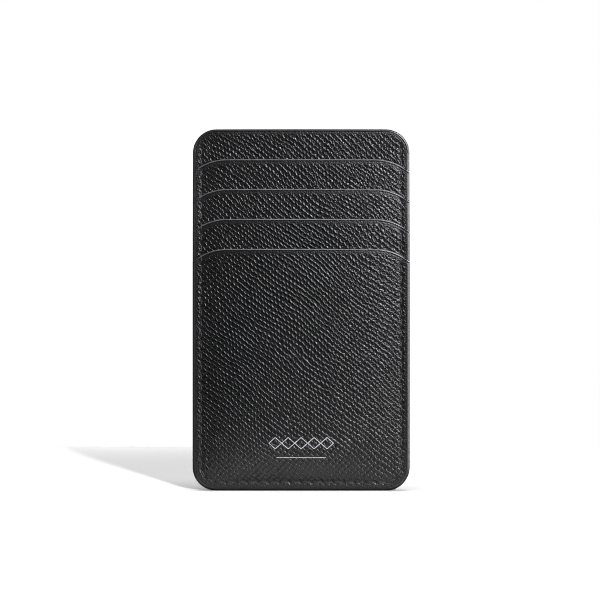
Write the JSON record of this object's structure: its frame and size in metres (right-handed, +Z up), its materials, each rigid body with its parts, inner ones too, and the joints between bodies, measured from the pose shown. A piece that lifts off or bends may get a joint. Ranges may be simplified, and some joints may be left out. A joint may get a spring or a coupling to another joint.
{
  "type": "card holder",
  "caption": "Slim upright leather card holder: stepped card slots with curved mouths on the front, a top-opening note compartment behind, stitched and edge-painted rim.",
  "frame": {"origin": "centre of the bottom edge's footprint, on the surface that the holder stands on", "axes": "+Z up towards the mouths, +Y out of the plain back, -Y out of the face with the slots, +X to the right as seen from the slot side"},
  "size_m": [0.0672, 0.0077, 0.112],
  "materials": {
    "saffiano_leather": "black cross-grained coated leather, semi-gloss ridges",
    "lining": "thin black woven lining, matt",
    "bonded_board": "bonded leather board, hidden inside the back wall",
    "edge_paint": "charcoal acrylic edge paint, satin",
    "thread": "bonded twisted thread, black",
    "foil": "hot-stamped silver foil"
  },
  "bodies": {
    "root": {"back_panel": "saffiano_leather", "divider_panel": "saffiano_leather", "slot_1_facing": "saffiano_leather", "slot_2_facing": "saffiano_leather", "slot_3_facing": "saffiano_leather", "front_panel": "saffiano_leather", "back_lining": "lining", "divider_lining": "lining", "slot_1_lining": "lining", "slot_2_lining": "lining", "slot_3_lining": "lining", "front_lining": "lining", "back_stiffener": "bonded_board", "back_top_paint": "edge_paint", "divider_top_paint": "edge_paint", "slot_1_mouth_paint": "edge_paint", "slot_2_mouth_paint": "edge_paint", "slot_3_mouth_paint": "edge_paint", "front_mouth_paint": "edge_paint", "rim_paint": "edge_paint", "needle_thread": "thread", "bobbin_thread": "thread", "slot_1_seam_thread": "thread", "slot_2_seam_thread": "thread", "slot_3_seam_thread": "thread", "foil_ornament": "foil", "foil_rule": "foil"}
  },
  "joints": []
}
